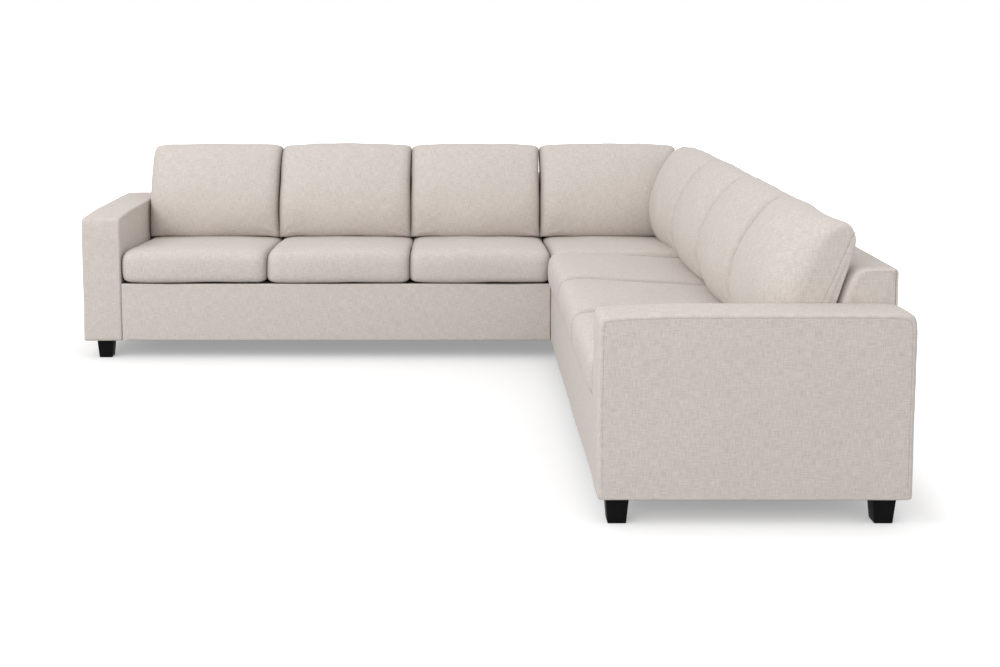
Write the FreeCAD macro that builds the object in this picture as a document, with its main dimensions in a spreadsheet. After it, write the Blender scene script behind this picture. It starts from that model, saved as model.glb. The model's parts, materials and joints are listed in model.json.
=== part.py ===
import FreeCAD, Part
import math
import os

import Sketcher

# Corner sofa in three modules: a left run of three seats with an arm, a square
# corner seat, and a right run of three seats with an arm.  Millimetres, +Z up.
# The origin is on the floor under the middle of the sofa's outline.  The left
# run stands along +Y and faces -Y; the right run stands along +X and faces -X.

doc = FreeCAD.newDocument("CornerSofa")
sheet = doc.addObject("Spreadsheet::Sheet", "Sizes")


class Length:
    """A size with its value and the expression that gives it from the sheet."""

    def __init__(self, text, value):
        self.text = text
        self.value = value

    def __add__(self, other):
        other = as_length(other)
        return Length(f"({self.text} + {other.text})", self.value + other.value)

    def __sub__(self, other):
        other = as_length(other)
        return Length(f"({self.text} - {other.text})", self.value - other.value)

    def __mul__(self, factor):
        return Length(f"({self.text} * {factor})", self.value * factor)

    __radd__ = __add__


def as_length(value):
    if isinstance(value, Length):
        return value
    return Length(str(value), float(value))


row = 0


def size(alias, value, meaning):
    """Put one driving dimension in the sheet and return it."""
    global row
    row += 1
    sheet.set(f"A{row}", meaning)
    sheet.set(f"B{row}", str(value))
    sheet.setAlias(f"B{row}", alias)
    return Length(f"Sizes.{alias}", float(value))


half_width = size("half_width", 1475, "half of the length along each wall")
run_length = size("run_length", 2036, "length of a three-seat run with its arm")
depth = size("module_depth", 914, "front to back of every module")
arm_width = size("arm_width", 166, "width of an arm")
arm_top = size("arm_top", 629, "height of the arms")
arm_proud = size("arm_proud", 12, "how far an arm stands in front of the rail")
frame_length = size("frame_length", 1870, "length of a run without its arm")
seat_pitch = size("seat_pitch", 623.3, "distance between seat cushion joints")
leg_top = size("leg_top", 85, "height of the legs")
cover_bottom = size("cover_bottom", 85.5, "lowest edge of the fabric")
rail_bottom = size("rail_bottom", 87.5, "underside of the timber rails")
rail_top = size("rail_top", 329, "upper edge of the timber rails")
deck_bottom = size("deck_bottom", 331.5, "underside of the seat deck cloth")
deck_top = size("deck_top", 334, "upper side of the seat deck cloth")
back_top = size("back_top", 728, "height of the upholstered back")
back_head = size("back_head", 154, "thickness of the back at its top")
back_foot = size("back_foot", 267, "thickness of the back at the seat deck")
back_round = size("back_round", 85, "radius of the back's inner top edge")
padding = size("padding", 12, "fabric with its foam layer")
front_padding = size("front_padding", 10, "fabric with foam on the front rail")
board = size("board_thickness", 22, "thickness of the frame boards")
web_rail = size("web_rail", 622, "front face of the rail that holds the webbing")
post = size("post_width", 45, "side of the back posts")
leg_wide = size("leg_wide", 70, "side of a leg at its top")
leg_narrow = size("leg_narrow", 55, "side of a leg at the floor")
block = size("block_side", 60, "side of the blocks that hold the legs")
block_height = size("block_height", 25, "thickness of the leg blocks")
bolt_radius = size("bolt_radius", 4, "radius of bolts and leg studs")
hole_radius = size("hole_radius", 4.3, "radius of the holes for them")
strap = size("strap_width", 60, "width of an elastic webbing strap")
seat_low = size("seat_low", 336, "underside of the seat cushions")
seat_high = size("seat_high", 474, "crown of the seat cushions")
seat_front = size("seat_front", -8, "front of the seat cushions from the rail")
seat_back = size("seat_back", 645, "rear of the seat cushions from the rail")
cushion_gap = size("cushion_gap", 2, "gap on each side of a cushion")
front_line = half_width - depth


def bind(item, prop, length):
    item.setExpression(prop, as_length(length).text)


class Station:
    """A module's own frame: x along it, y from its front to its back."""

    def __init__(self, origin_x, origin_y, turned=False):
        self.origin_x = as_length(origin_x)
        self.origin_y = as_length(origin_y)
        self.turned = turned

    def point(self, x, y):
        x = as_length(x)
        y = as_length(y)
        if self.turned:
            return self.origin_x + y, self.origin_y - x
        return self.origin_x + x, self.origin_y + y

    def placement(self, x=0, z=0):
        world_x, world_y = self.point(x, 0)
        angle = -90 if self.turned else 0
        rotation = FreeCAD.Rotation(FreeCAD.Vector(0, 0, 1), angle)
        base = FreeCAD.Vector(world_x.value, world_y.value, as_length(z).value)
        return FreeCAD.Placement(base, rotation)

    def place(self, item, x, y, z):
        world_x, world_y = self.point(x, y)
        bind(item, "Placement.Base.x", world_x)
        bind(item, "Placement.Base.y", world_y)
        bind(item, "Placement.Base.z", z)

    def box(self, name, x, y, z, along, across, height):
        item = doc.addObject("Part::Box", name)
        if self.turned:
            self.place(item, as_length(x) + along, y, z)
            along, across = across, along
        else:
            self.place(item, x, y, z)
        bind(item, "Length", along)
        bind(item, "Width", across)
        bind(item, "Height", height)
        return item


def cylinder(name, station, x, y, z, radius, height):
    item = doc.addObject("Part::Cylinder", name)
    bind(item, "Radius", radius)
    bind(item, "Height", height)
    station.place(item, x, y, z)
    return item


def cut(name, base, tools):
    for number, tool in enumerate(tools):
        item = doc.addObject("Part::Cut", name if number == len(tools) - 1 else name + "_cut")
        item.Base = base
        item.Tool = tool
        base = item
    return base


def group(items, name):
    item = doc.addObject("Part::Compound", name)
    item.Links = items
    return item


def edges_where(shape, test):
    """Numbers of the edges whose middle and direction pass the test."""
    found = []
    for number, edge in enumerate(shape.Edges, start=1):
        ends = edge.Vertexes
        if len(ends) < 2:
            continue
        middle = edge.valueAt((edge.FirstParameter + edge.LastParameter) / 2)
        direction = ends[1].Point - ends[0].Point
        if test(middle, direction):
            found.append(number)
    return found


def filleted(name, base, test, radius):
    doc.recompute()
    item = doc.addObject("Part::Fillet", name)
    item.Base = base
    item.Edges = [(number, radius, radius) for number in edges_where(base.Shape, test)]
    return item


def is_vertical(direction):
    return abs(direction.x) < 0.01 and abs(direction.y) < 0.01


def profile_body(name, points, length, placement, rounds=()):
    """Body with a closed profile in its YZ plane, padded along its X axis.

    points are (y, z) pairs; rounds are (point number, radius) pairs.
    """
    body = doc.addObject("PartDesign::Body", name)
    sketch = body.newObject("Sketcher::SketchObject", name + "_profile")
    plane = [item for item in body.Origin.OriginFeatures if item.Role == "YZ_Plane"][0]
    sketch.AttachmentSupport = [(plane, "")]
    sketch.MapMode = "FlatFace"
    points = [(as_length(y), as_length(z)) for y, z in points]
    corners = [FreeCAD.Vector(y.value, z.value, 0) for y, z in points]
    count = len(corners)
    for number in range(count):
        line = Part.LineSegment(corners[number], corners[(number + 1) % count])
        sketch.addGeometry(line, False)
    for number in range(count):
        joint = Sketcher.Constraint("Coincident", number, 2, (number + 1) % count, 1)
        sketch.addConstraint(joint)
    for number, (y, z) in enumerate(points):
        for kind, length_of in (("DistanceX", y), ("DistanceY", z)):
            fixed = Sketcher.Constraint(kind, number, 1, length_of.value)
            index = sketch.addConstraint(fixed)
            sketch.setExpression(f"Constraints[{index}]", length_of.text)
    pad = body.newObject("PartDesign::Pad", name + "_pad")
    pad.Profile = sketch
    bind(pad, "Length", length)
    body.Placement = placement
    doc.recompute()
    last = pad
    for number, radius in rounds:
        corner = corners[number]

        def at_corner(middle, direction):
            near = math.hypot(middle.y - corner.x, middle.z - corner.y) < 0.01
            return near and abs(direction.x) > 1

        names = [f"Edge{n}" for n in edges_where(last.Shape, at_corner)]
        fillet = body.newObject("PartDesign::Fillet", name + "_round")
        fillet.Base = (last, names)
        bind(fillet, "Radius", radius)
        doc.recompute()
        last = fillet
    return body


nodes = []


def finish(label, item):
    """Give a finished sub-part its own name."""
    item.Label = label
    nodes.append(item)
    return item


def back_outline(grow=0):
    """Side view of an upholstered back: a leaning wedge with a thin skirt below it."""
    return [
        (depth + grow, cover_bottom - grow),
        (depth + grow, back_top + grow),
        (depth - back_head - grow, back_top + grow),
        (depth - back_foot - grow, deck_top + 1 - grow),
        (depth - padding - grow, deck_top + 1 - grow),
        (depth - padding - grow, cover_bottom - grow),
    ]


def back_hollow():
    """The room inside the padding for posts and top rail, open at the deck."""
    return [
        (depth - padding, deck_top - 5),
        (depth - padding, back_top - padding),
        (depth - 110, back_top - padding),
        (depth - 150, back_top - 65),
        (depth - back_foot + 13, deck_top - 5),
    ]


def back_cover(label, station, start, length, hollow_start, hollow_length, trim=()):
    name = label.title().replace("_", "")
    rounds = [(2, back_round), (1, 14)]
    outer = profile_body(name + "Outer", back_outline(), length, station.placement(start), rounds)
    inner = profile_body(
        name + "Inner", back_hollow(), hollow_length, station.placement(hollow_start)
    )
    return finish(label, cut(name, outer, [*trim, inner]))


def leg(name, station, x, y):
    """Square leg that narrows to the floor, bored for its stud."""
    wedge = doc.addObject("Part::Wedge", name + "_taper")
    inset = (leg_wide - leg_narrow) * 0.5
    for prop, length in (
        ("Xmin", inset),
        ("Xmax", leg_wide - inset),
        ("Zmin", inset),
        ("Zmax", leg_wide - inset),
        ("X2min", Length("0", 0)),
        ("X2max", leg_wide),
        ("Z2min", Length("0", 0)),
        ("Z2max", leg_wide),
        ("Ymin", Length("0", 0)),
        ("Ymax", leg_top),
    ):
        bind(wedge, prop, length)
    # The taper runs along the wedge's own Y axis, so it is stood up.
    wedge.Placement.Rotation = FreeCAD.Rotation(FreeCAD.Vector(1, 0, 0), 90)
    corner_x, corner_y = station.point(x, y)
    bind(wedge, "Placement.Base.x", corner_x - leg_wide * 0.5)
    bind(wedge, "Placement.Base.y", corner_y + leg_wide * 0.5)
    bore = cylinder(name + "_bore", station, x, y, leg_top - 35, hole_radius, 60)
    return cut(name, wedge, [bore])


blocks = []
studs = []


def legs(label, station, places):
    made = []
    for number, (x, y) in enumerate(places, start=1):
        name = f"{label}_{number}"
        made.append(leg(name, station, x, y))
        slab = station.box(
            name + "_slab",
            as_length(x) - block * 0.5,
            as_length(y) - block * 0.5,
            rail_bottom,
            block,
            block,
            block_height,
        )
        bore = cylinder(name + "_slab_bore", station, x, y, 0, hole_radius, 200)
        blocks.append(cut(name + "_block", slab, [bore]))
        studs.append(cylinder(name + "_stud", station, x, y, leg_top - 30, bolt_radius, 55))
    return finish(label, group(made, label.title().replace("_", "")))


def dust_cover(label, station, x, length, across, places):
    name = label.title().replace("_", "")
    sheet_box = station.box(name + "_cloth", x, 13, cover_bottom, length, across, 1.5)
    holes = [
        cylinder(f"{name}_hole_{number}", station, px, py, 0, 6, 200)
        for number, (px, py) in enumerate(places)
    ]
    return finish(label, cut(name, sheet_box, holes))


def board_group(label, station, boards):
    name = label.title().replace("_", "")
    made = [station.box(f"{name}_{number}", *measures) for number, measures in enumerate(boards)]
    return finish(label, group(made, name))


def rounded_outline(low, high, radius, level):
    """Rectangle with quarter-round corners at one height."""
    corners = [low, (high[0], low[1]), high, (low[0], high[1])]
    return rounded_polygon(corners, radius, lambda a, b: FreeCAD.Vector(a, b, level))


def rounded_polygon(corners, radius, to_space):
    """Closed wire of straight sides joined by arcs of one radius."""
    count = len(corners)
    starts = []
    ends = []
    middles = []
    for number in range(count):
        before = FreeCAD.Vector(*corners[number - 1], 0)
        here = FreeCAD.Vector(*corners[number], 0)
        after = FreeCAD.Vector(*corners[(number + 1) % count], 0)
        towards = (before - here).normalize()
        away = (after - here).normalize()
        half_angle = towards.getAngle(away) / 2
        reach = radius / math.tan(half_angle)
        bisector = (towards + away).normalize()
        centre = here + bisector * (radius / math.sin(half_angle))
        starts.append(here + towards * reach)
        ends.append(here + away * reach)
        middles.append(centre - bisector * radius)
    edges = []
    for number in range(count):
        arc = [to_space(p.x, p.y) for p in (starts[number], middles[number], ends[number])]
        edges.append(Part.Arc(*arc).toShape())
        after = starts[(number + 1) % count]
        straight = [to_space(p.x, p.y) for p in (ends[number], after)]
        edges.append(Part.LineSegment(*straight).toShape())
    return Part.Wire(edges)


# Levels of a seat cushion from its base to its crown, and how far each is drawn in:
# at the open sides, and at a side that carries a back cushion, where the top slopes.
seat_levels = [
    (0, 13, 13),
    (0.12, 3, 3),
    (0.4, 0, 0),
    (0.66, 2, 5),
    (0.83, 10, 60),
    (0.93, 30, 160),
    (1, 95, 270),
]


def seat_cushion(label, station, x, length, y, across, two_backs=False):
    low_x, low_y = as_length(x).value, as_length(y).value
    high_x = low_x + as_length(length).value
    high_y = low_y + as_length(across).value
    thick = seat_high.value - seat_low.value
    wires = []
    for level, inset, drawn in seat_levels:
        low = (low_x + inset, low_y + inset)
        high = (high_x - (drawn if two_backs else inset), high_y - drawn)
        wires.append(rounded_outline(low, high, 28, seat_low.value + thick * level))
    item = doc.addObject("Part::Feature", label.title().replace("_", ""))
    item.Shape = Part.makeLoft(wires, True, False)
    item.Placement = station.placement()
    return finish(label, item)


# Side view of a back cushion, as distance from the rail and height: its foot is
# flat on the seat, it bulges above that, and it leans back to its crown.
back_side = [
    (522, 466),
    (506, 584),
    (552, 734),
    (640, 851),
    (722, 879),
    (789, 815),
    (728, 629),
    (681, 466),
]
# How much of that outline is left at each distance from the end of the cushion.
back_ends = [(0, 0.84), (5, 0.90), (16, 0.955), (45, 0.985), (130, 1.0)]


def back_cushion(label, station, x, length, trim=None):
    start, end = as_length(x).value, as_length(x).value + as_length(length).value
    centre_y = sum(y for y, z in back_side) / len(back_side)
    centre_z = sum(z for y, z in back_side) / len(back_side)
    stations_x = [(start + offset, scale) for offset, scale in back_ends]
    stations_x += [(end - offset, scale) for offset, scale in reversed(back_ends)]
    wires = []
    for at, scale in stations_x:
        corners = [
            (centre_y + (y - centre_y) * scale, centre_z + (z - centre_z) * scale)
            for y, z in back_side
        ]

        def to_space(y, z, at=at):
            return FreeCAD.Vector(at, y, z)

        wires.append(rounded_polygon(corners, 24, to_space))
    shape = Part.makeLoft(wires, True, False)
    if trim is not None:
        shape = shape.cut(trim)
    item = doc.addObject("Part::Feature", label.title().replace("_", ""))
    item.Shape = shape
    item.Placement = station.placement()
    return finish(label, item)


def run(side, station, frame_start, arm_start, arm_leg, drilled_rail):
    """Three seats and their arm.

    frame_start and arm_start are where the seats and the arm begin along the
    run, arm_leg the distance of the arm's legs from its start, and
    drilled_rail the number of the cross rail that is bolted to the corner.
    """
    low = rail_bottom
    tall = rail_top - rail_bottom
    start = frame_start + 1
    length = frame_length - 2
    board_group(
        f"{side}_long_rails",
        station,
        [
            (start, front_padding, low, length, board, tall),
            (start, web_rail, low, length, board, tall),
            (start, depth - padding - board, low, length, board, tall),
        ],
    )
    crossings = [start + (length - board) * (number / 3) for number in range(4)]
    cross_front = front_padding + board
    cross_length = web_rail - front_padding - board
    cross = [
        station.box(f"{side}Cross{n}", x, cross_front, low, board, cross_length, tall)
        for n, x in enumerate(crossings)
    ]
    cross[drilled_rail] = cut(f"{side}CrossDrilled", cross[drilled_rail], bolt_holes[side])
    finish(f"{side}_cross_rails", group(cross, f"{side}CrossRails"))
    short_length = depth - padding - board - web_rail - board
    board_group(
        f"{side}_short_rails",
        station,
        [(x, web_rail + board, low, board, short_length, tall) for x in crossings],
    )
    strap_pitch = seat_pitch * 0.25
    board_group(
        f"{side}_webbing",
        station,
        [
            (
                start + strap_pitch * (number + 0.5) - strap * 0.5,
                front_padding + 2,
                rail_top,
                strap,
                web_rail + board - front_padding - 4,
                2,
            )
            for number in range(12)
        ],
    )
    deck = station.box(
        f"{side}Deck", start, front_padding + 2, deck_bottom, length, 632, deck_top - deck_bottom
    )
    finish(f"{side}_seat_deck", deck)
    panel = station.box(
        f"{side}Panel", start, 0, cover_bottom, length, front_padding, deck_top - cover_bottom
    )
    front = station.point(0, 0)

    def on_front_edge(middle, direction):
        ahead = middle.x - front[0].value if station.turned else middle.y - front[1].value
        return abs(ahead) < 0.1 and not is_vertical(direction)

    finish(f"{side}_front_cover", filleted(f"{side}FrontCover", panel, on_front_edge, 6))

    post_y = depth - padding - board - post
    post_places = [0.03, 0.2, 0.5, 0.8, 0.95]
    board_group(
        f"{side}_back_posts",
        station,
        [(start + length * part, post_y, low, post, post, 600) for part in post_places],
    )
    top_rail = station.box(
        f"{side}TopRail", start + 16, depth - 100, low + 600, length - 32, 80, board
    )
    finish(f"{side}_back_top_rail", top_rail)
    back_cover(
        f"{side}_back_cover", station, start, length, start + padding, length - padding * 2
    )

    arm = station.box(
        f"{side}ArmBlock",
        arm_start,
        arm_proud * -1,
        cover_bottom,
        arm_width,
        depth + arm_proud,
        arm_top - cover_bottom,
    )
    front_value = -arm_proud.value

    def on_soft_edge(middle, direction):
        on_top = abs(middle.z - arm_top.value) < 0.1
        ahead = middle.x - front[0].value if station.turned else middle.y - front[1].value
        on_front = abs(ahead - front_value) < 0.1
        on_rear = abs(ahead - depth.value) < 0.1
        return on_top or (is_vertical(direction) and (on_front or on_rear))

    arm_soft = filleted(f"{side}ArmSoft", arm, on_soft_edge, 22)
    arm_room = station.box(
        f"{side}ArmRoom",
        arm_start + padding,
        0,
        cover_bottom - 10,
        arm_width - padding * 2,
        depth - padding,
        arm_top - padding - cover_bottom + 10,
    )
    finish(f"{side}_arm_cover", cut(f"{side}ArmCover", arm_soft, [arm_room]))
    side_length = depth - padding - 2
    board_group(
        f"{side}_arm_side_boards",
        station,
        [
            (arm_start + padding, 1, low, 12, side_length, 500),
            (arm_start + arm_width - padding - 12, 1, low, 12, side_length, 500),
        ],
    )
    arm_board = station.box(
        f"{side}ArmBoard",
        arm_start + padding,
        26,
        low + 500,
        arm_width - padding * 2,
        side_length - 25,
        board,
    )
    finish(f"{side}_arm_top_board", arm_board)

    leg_places = [
        (arm_start + arm_leg, 58),
        (arm_start + arm_leg, depth - 75),
        (start + length * 0.49, 457),
        (start + length * 0.49, 790),
        (corner_end(start, length, arm_start), 457),
        (corner_end(start, length, arm_start), 790),
    ]
    legs(f"{side}_legs", station, leg_places)
    dust_cover(f"{side}_dust_cover", station, start, length, depth - 30, leg_places[2:])

    for number in range(3):
        left = frame_start + seat_pitch * number + cushion_gap
        wide = seat_pitch - cushion_gap * 2
        across = seat_back - seat_front
        name = f"{side}_seat_cushion_{number + 1}"
        seat_cushion(name, station, left, wide, seat_front, across)
        back_cushion(f"{side}_back_cushion_{number + 1}", station, left, wide)


def corner_end(start, length, arm_start):
    """Place of the legs beside the corner module."""
    if arm_start.value > start.value:
        return start + 110
    return start + length - 110


left_run = Station(half_width * -1, front_line)
right_run = Station(front_line, front_line, turned=True)
corner = Station(front_line, front_line)
corner_side = Station(front_line, half_width, turned=True)

# Two bolts hold the corner to each run, through the rails that lie side by side.
bolt_level = 209
bolt_spots = [150, 450]
bolts = []
nuts = []


def bolt(name, station, along, across, angle, axis):
    """Hexagon bolt with its nut, from the run's rail into the corner's rail."""
    x, y = station.point(along, across)
    turn = FreeCAD.Rotation(axis, angle)
    direction = turn.multVec(FreeCAD.Vector(0, 0, 1))
    base = FreeCAD.Vector(x.value, y.value, bolt_level)
    parts = []
    for kind, part_name, offset, height, radius in (
        ("Part::Cylinder", "Shank", 0, 62, bolt_radius),
        ("Part::Prism", "Head", -5.5, 5.5, 7.5),
        ("Part::Prism", "Nut", 46, 6.5, 7.5),
        ("Part::Cylinder", "NutBore", 40, 20, bolt_radius + 0.05),
        ("Part::Cylinder", "Hole", -30, 110, hole_radius),
    ):
        item = doc.addObject(kind, name + part_name)
        if kind == "Part::Prism":
            item.Polygon = 6
            bind(item, "Circumradius", radius)
        else:
            bind(item, "Radius", radius)
        bind(item, "Height", height)
        item.Placement = FreeCAD.Placement(base + direction * offset, turn)
        parts.append(item)
    shank, head, nut, nut_bore, hole = parts
    whole = doc.addObject("Part::Fuse", name)
    whole.Base = shank
    whole.Tool = head
    bolts.append(whole)
    nuts.append(cut(name + "NutBored", nut, [nut_bore]))
    return hole


along_x = FreeCAD.Vector(0, 1, 0)
along_y = FreeCAD.Vector(1, 0, 0)
bolt_holes = {"left": [], "right": []}
rail_back = board + 1
for spot in bolt_spots:
    hole = bolt(f"LeftBolt{spot}", corner, rail_back * -1, spot, 90, along_x)
    bolt_holes["left"].append(hole)
    hole = bolt(f"RightBolt{spot}", corner, spot, rail_back * -1, -90, along_y)
    bolt_holes["right"].append(hole)

run("left", left_run, arm_width, as_length(0), 85, 3)
run("right", right_run, as_length(0), frame_length, 111, 0)

# The square corner: its front and left sides lie against the two runs.
low = rail_bottom
tall = rail_top - rail_bottom
corner_length = depth - padding - 1
front_rail = corner.box("CornerFrontRail", 1, 1, low, corner_length, board, tall)
web_board = corner.box("CornerWebRail", 1, web_rail, low, corner_length, board, tall)
rear_rail = corner.box(
    "CornerRearRail", 1, depth - padding - board, low, corner_length, board, tall
)
drilled_front = cut("CornerFrontDrilled", front_rail, bolt_holes["right"])
finish("corner_long_rails", group([drilled_front, web_board, rear_rail], "CornerLongRails"))
side_places = [as_length(1), as_length(311), web_rail, depth - padding - board]
cross_length = web_rail - board - 1
cross = [
    corner.box(f"CornerCross{n}", x, board + 1, low, board, cross_length, tall)
    for n, x in enumerate(side_places)
]
cross[0] = cut("CornerCrossDrilled", cross[0], bolt_holes["left"])
finish("corner_cross_rails", group(cross, "CornerCrossRails"))
short_length = depth - padding - board - web_rail - board
board_group(
    "corner_short_rails",
    corner,
    [(x, web_rail + board, low, board, short_length, tall) for x in side_places],
)
board_group(
    "corner_webbing",
    corner,
    [(60 + 150 * n, 3, rail_top, strap, web_rail + board - 6, 2) for n in range(4)],
)
corner_deck = corner.box("CornerDeck", 2, 2, deck_bottom, 642, 642, deck_top - deck_bottom)
finish("corner_seat_deck", corner_deck)
post_y = depth - padding - board - post
rear_posts = [
    corner.box(f"CornerRearPost{n}", x, post_y, low, post, post, 600)
    for n, x in enumerate([40, 450])
]
side_posts = [
    corner.box(f"CornerSidePost{n}", post_y, y, low, post, post, 600)
    for n, y in enumerate([40, 450])
]
finish("corner_back_posts", group(rear_posts + side_posts, "CornerBackPosts"))
rear_top = corner.box("CornerRearTop", 16, depth - 100, low + 600, 590, 80, board)
side_top = corner.box("CornerSideTop", depth - 100, 16, low + 600, 80, 590, board)
finish("corner_back_top_rails", group([rear_top, side_top], "CornerTopRails"))
# The two backs meet in a mitre that runs from the inner to the outer corner.
def mitre(name, shift):
    item = doc.addObject("Part::Box", name)
    for prop in ("Length", "Width", "Height"):
        bind(item, prop, half_width)
    turn = FreeCAD.Rotation(FreeCAD.Vector(0, 0, 1), 45)
    offset = turn.multVec(FreeCAD.Vector(0, shift, 0))
    item.Placement = FreeCAD.Placement(corner.placement().Base + offset, turn)
    return item


rear_mitre = mitre("CornerRearMitre", 0.25 - half_width.value)
side_mitre = mitre("CornerSideMitre", -0.25)
hollow = 600
back_cover(
    "corner_rear_back_cover", corner, 0.5, depth - 0.5, padding, hollow, [rear_mitre]
)
back_cover(
    "corner_side_back_cover",
    corner_side,
    0,
    depth - 0.5,
    depth - padding - hollow,
    hollow,
    [side_mitre],
)
corner_legs = [(400, 400), (120, 790), (790, 120), (790, 790)]
legs("corner_legs", corner, corner_legs)
dust_cover("corner_dust_cover", corner, 2, depth - 18, depth - 30, corner_legs)

corner_span = seat_back - cushion_gap
seat_cushion(
    "corner_seat_cushion", corner, cushion_gap, corner_span, cushion_gap, corner_span, True
)
back_cushion("corner_back_cushion_rear", corner, cushion_gap, corner_span)
# The second corner cushion butts against the leaning face of the first one.
face = [(depth.value + 100, 400), (depth.value + 100, 900), (760, 900)]
lean = [(722, 883), (638, 855), (549, 736), (502.5, 585), (502.5, 400)]
outline = [FreeCAD.Vector(0, y, z) for y, z in face + lean]
butt = Part.Face(Part.makePolygon(outline + outline[:1])).extrude(FreeCAD.Vector(1200, 0, 0))
butt.Placement = corner.placement()
butt = butt.transformGeometry(corner_side.placement().inverse().toMatrix())
end_gap = depth - seat_back
back_cushion("corner_back_cushion_side", corner_side, end_gap, corner_span, trim=butt)

finish("leg_blocks", group(blocks, "LegBlocks"))
finish("leg_studs", group(studs, "LegStuds"))
finish("connector_bolts", group(bolts, "ConnectorBolts"))
finish("connector_nuts", group(nuts, "ConnectorNuts"))

doc.recompute()
for item in doc.Objects:
    if "Invalid" in item.State or "Error" in item.State:
        raise RuntimeError(f"{item.Label} did not rebuild")
for item in nodes:
    if item.Shape.isNull() or not item.Shape.isValid():
        raise RuntimeError(f"{item.Label} has no valid shape")

os.makedirs("parts", exist_ok=True)
for item in nodes:
    item.Shape.exportStep(f"parts/{item.Label}.step")
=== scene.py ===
import json
import math

import bpy
import numpy as np
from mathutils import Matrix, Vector


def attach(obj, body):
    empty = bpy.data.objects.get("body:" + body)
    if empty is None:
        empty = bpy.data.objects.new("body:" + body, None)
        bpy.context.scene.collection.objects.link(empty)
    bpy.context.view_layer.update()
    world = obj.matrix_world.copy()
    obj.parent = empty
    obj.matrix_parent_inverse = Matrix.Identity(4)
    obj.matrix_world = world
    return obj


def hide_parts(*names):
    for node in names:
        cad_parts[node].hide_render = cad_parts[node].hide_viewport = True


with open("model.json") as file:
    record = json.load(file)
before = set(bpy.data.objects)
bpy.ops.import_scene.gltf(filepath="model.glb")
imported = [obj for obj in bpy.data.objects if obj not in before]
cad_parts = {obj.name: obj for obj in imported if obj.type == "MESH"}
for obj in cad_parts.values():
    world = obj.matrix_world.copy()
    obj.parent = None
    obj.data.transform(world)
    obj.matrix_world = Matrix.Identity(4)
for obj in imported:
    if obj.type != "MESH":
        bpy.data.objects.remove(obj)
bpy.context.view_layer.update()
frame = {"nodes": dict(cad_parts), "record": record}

# Sizes in metres, in the sofa's own frame: the left run faces -Y, the right run
# faces -X.  Each module has a station: x along it, y from its front to its back.
HALF = 1.475
DEPTH = 0.914
FRONT = HALF - DEPTH
ARM = 0.166
PITCH = 0.6233
RUN = 1.870
DECK = 0.336
WEBBING = 0.3302
DECK_CLOTH = 0.3333
DUST_CLOTH = 0.0862
LEG = 0.085
STATIONS = {
    "left": (-HALF, FRONT, False),
    "right": (FRONT, FRONT, True),
    "corner": (FRONT, FRONT, False),
    "corner_side": (FRONT, HALF, True),
}


def to_world(points, station):
    """Points of a module's own frame, in the sofa's frame."""
    origin_x, origin_y, turned = STATIONS[station]
    x, y, z = points.T
    if turned:
        return np.stack([origin_x + y, origin_y - x, z], 1)
    return np.stack([origin_x + x, origin_y + y, z], 1)


# ---- Materials


class Socket:
    """A shader value that can be added, multiplied and compared."""

    def __init__(self, tree, out):
        self.tree = tree
        self.out = out

    def node(self, kind, inputs=(), **settings):
        made = self.tree.nodes.new(kind)
        for name, value in settings.items():
            setattr(made, name, value)
        for key, value in dict(inputs).items():
            if isinstance(value, Socket):
                self.tree.links.new(value.out, made.inputs[key])
            else:
                made.inputs[key].default_value = value
        return made

    def math(self, operation, *values, clamp=False):
        inputs = dict(enumerate((self, *values)))
        made = self.node("ShaderNodeMath", inputs, operation=operation, use_clamp=clamp)
        return Socket(self.tree, made.outputs[0])

    def __add__(self, other):
        return self.math("ADD", other)

    __radd__ = __add__

    def __sub__(self, other):
        return self.math("SUBTRACT", other)

    def __rsub__(self, other):
        return self * -1.0 + other

    def __mul__(self, other):
        return self.math("MULTIPLY", other)

    __rmul__ = __mul__

    def __gt__(self, other):
        return self.math("GREATER_THAN", other)

    def abs(self):
        return self.math("ABSOLUTE")

    def sin(self):
        return self.math("SINE")

    def clamped(self):
        return self.math("ADD", 0.0, clamp=True)

    def choose(self, yes, no):
        """yes where this is 1, no where it is 0."""
        return no + (yes - no) * self

    def noise(self, scale, detail=2.0, rough=0.5):
        made = self.node(
            "ShaderNodeTexNoise", {"Vector": self, "Scale": scale, "Detail": detail, "Roughness": rough}
        )
        return Socket(self.tree, made.outputs["Fac"])

    def vector(self, y, z):
        made = self.node("ShaderNodeCombineXYZ", {0: self, 1: y, 2: z})
        return Socket(self.tree, made.outputs[0])


def new_material(name):
    """Material with its shader node and a socket to build values from."""
    material = bpy.data.materials.new(name)
    material.use_nodes = True
    tree = material.node_tree
    shader = tree.nodes["Principled BSDF"]
    coordinates = tree.nodes.new("ShaderNodeTexCoord")
    return material, shader, Socket(tree, coordinates.outputs["Object"])


def set_colour(shader, amount, dark, light):
    """Base colour between two, by an amount from 0 to 1."""
    mix = amount.node("ShaderNodeMix", {"Factor": amount.clamped()}, data_type="RGBA")
    mix.inputs[6].default_value = (*dark, 1)
    mix.inputs[7].default_value = (*light, 1)
    amount.tree.links.new(mix.outputs[2], shader.inputs["Base Color"])


def set_bump(shader, height, strength, distance):
    bump = height.node("ShaderNodeBump", {"Height": height, "Strength": strength, "Distance": distance})
    height.tree.links.new(bump.outputs[0], shader.inputs["Normal"])


def flat_coordinates(position):
    """Two coordinates that lie in the surface, chosen by the way it faces."""
    tree = position.tree
    split = position.node("ShaderNodeSeparateXYZ", {0: position})
    x, y, z = (Socket(tree, split.outputs[n]) for n in range(3))
    geometry = tree.nodes.new("ShaderNodeNewGeometry")
    facing = position.node("ShaderNodeSeparateXYZ", {0: Socket(tree, geometry.outputs["Normal"])})
    nx, ny, nz = (Socket(tree, facing.outputs[n]).abs() for n in range(3))
    faces_x = nx > ny.math("MAXIMUM", nz)
    faces_z = nz > nx.math("MAXIMUM", ny)
    return faces_x.choose(y, x), faces_z.choose(y, z)


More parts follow.
